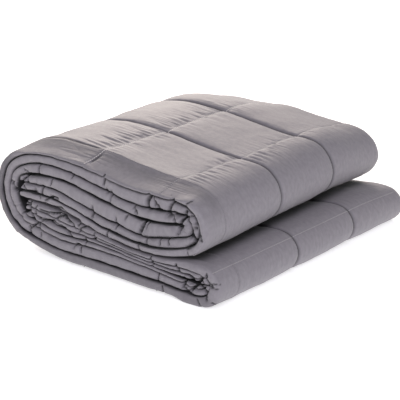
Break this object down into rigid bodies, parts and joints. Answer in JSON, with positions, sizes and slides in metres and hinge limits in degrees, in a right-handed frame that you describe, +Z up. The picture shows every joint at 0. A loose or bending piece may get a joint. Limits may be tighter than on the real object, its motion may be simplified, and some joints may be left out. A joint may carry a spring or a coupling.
{
  "type": "weighted blanket",
  "caption": "Quilted grey weighted blanket with square sewn pockets, folded in thirds and then folded up into a low stack.",
  "frame": {"origin": "centre of the folded stack's footprint, on the surface that it lies on", "axes": "+Z up, +Y from the near end, where the ply edges show, to the far fold; +X towards the side where the stack opens"},
  "size_m": [0.3714, 0.4098, 0.15],
  "materials": {
    "quilted_cotton": "fine plain-woven cotton with a soft sheen, lilac grey"
  },
  "bodies": {
    "root": {"blanket": "quilted_cotton"}
  },
  "joints": []
}
